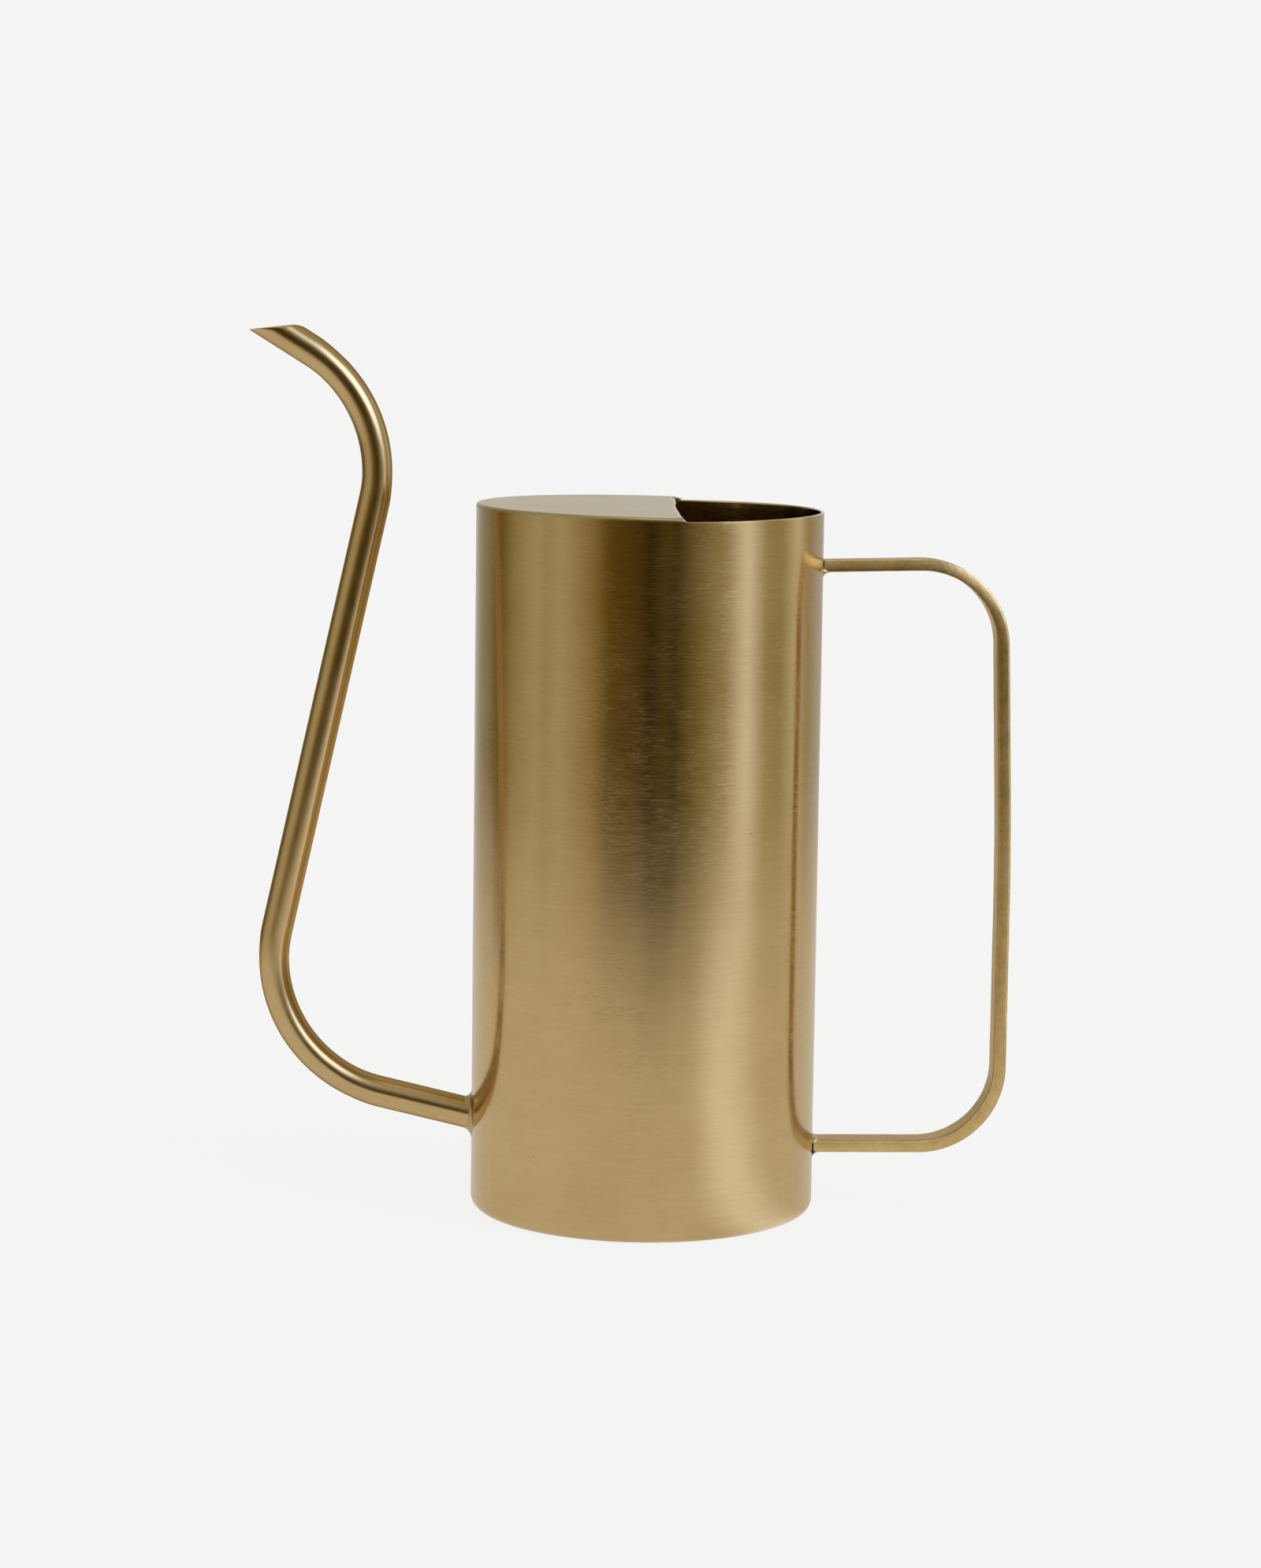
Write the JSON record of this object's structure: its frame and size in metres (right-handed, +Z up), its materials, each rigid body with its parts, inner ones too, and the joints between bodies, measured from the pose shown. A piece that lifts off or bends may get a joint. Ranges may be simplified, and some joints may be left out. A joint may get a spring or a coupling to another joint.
{
  "type": "watering can",
  "caption": "Slim brass watering can: straight cylinder, half-covered top, gooseneck spout tube and flat-bar handle.",
  "frame": {"origin": "centre of the base on the plane that the can stands on", "axes": "+Z up along the body's axis, +X towards the handle, spout towards -X, +Y to the can's far side with the spout at the left"},
  "size_m": [0.2433, 0.11, 0.2811],
  "materials": {
    "wall_brass": "brushed round the wall, waxed, with age marks",
    "cover_brass": "fine satin",
    "spout_brass": "polished satin along the tube",
    "handle_brass": "hand-dressed satin, broken edges",
    "filler_brass": "as brazed, lightly cleaned"
  },
  "bodies": {
    "root": {"body_wall": "wall_brass", "base_pan": "wall_brass", "base_braze": "filler_brass", "body_seam_braze": "filler_brass", "cover_plate": "cover_brass", "cover_braze": "filler_brass", "spout_tube": "spout_brass", "spout_braze": "filler_brass", "handle_bar": "handle_brass", "handle_upper_braze": "filler_brass", "handle_lower_braze": "filler_brass"}
  },
  "joints": []
}
